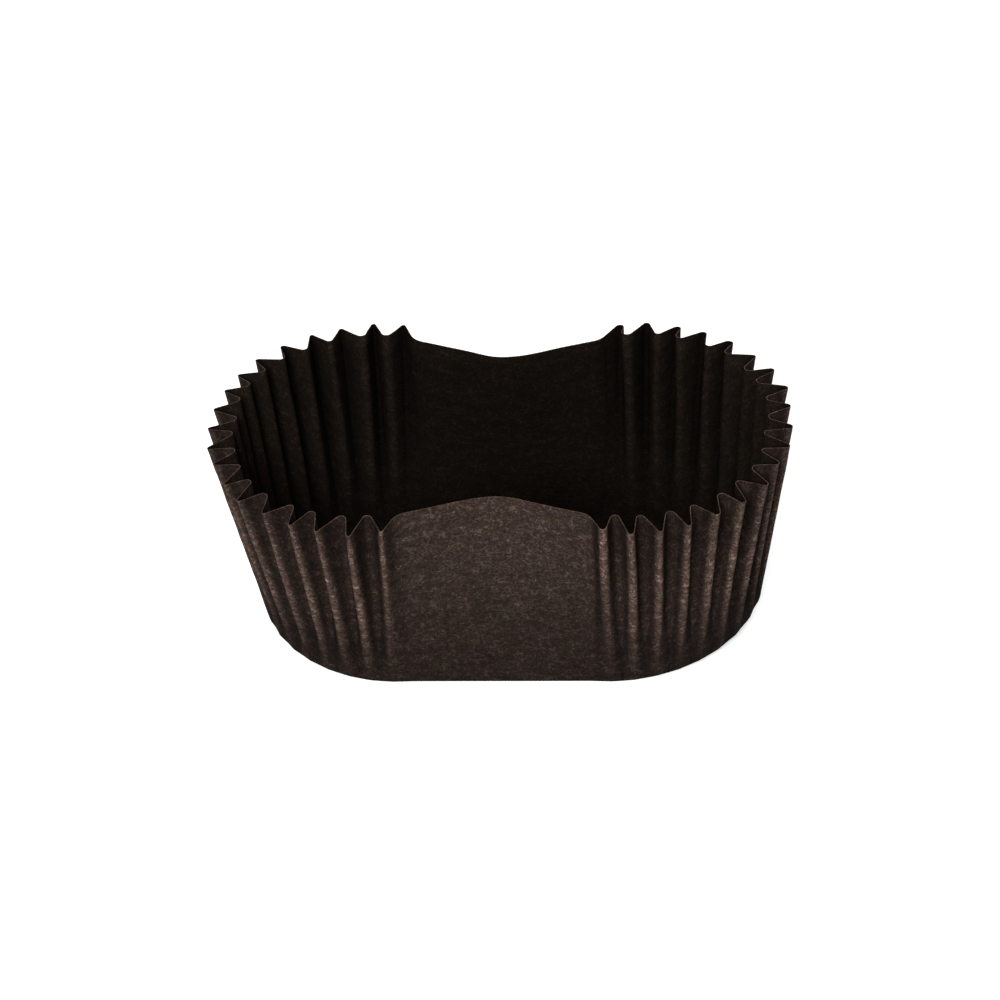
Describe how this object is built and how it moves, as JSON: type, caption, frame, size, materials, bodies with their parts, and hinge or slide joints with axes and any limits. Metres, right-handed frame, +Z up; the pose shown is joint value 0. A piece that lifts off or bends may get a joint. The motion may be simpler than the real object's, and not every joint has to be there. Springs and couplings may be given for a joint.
{
  "type": "oblong baking cup",
  "caption": "Oblong paper baking cup with a flat base, fluted round ends and smooth side panels that spring inward.",
  "frame": {"origin": "middle of the underside of the base, on the surface that the cup stands on", "axes": "+Z up to the rim, X along the two smooth side panels, Y across the cup from panel to panel"},
  "size_m": [0.083, 0.0514, 0.0318],
  "materials": {
    "brown_paper": "dark brown greaseproof baking paper, matt with a faint fibre"
  },
  "bodies": {
    "root": {"liner": "brown_paper"}
  },
  "joints": []
}
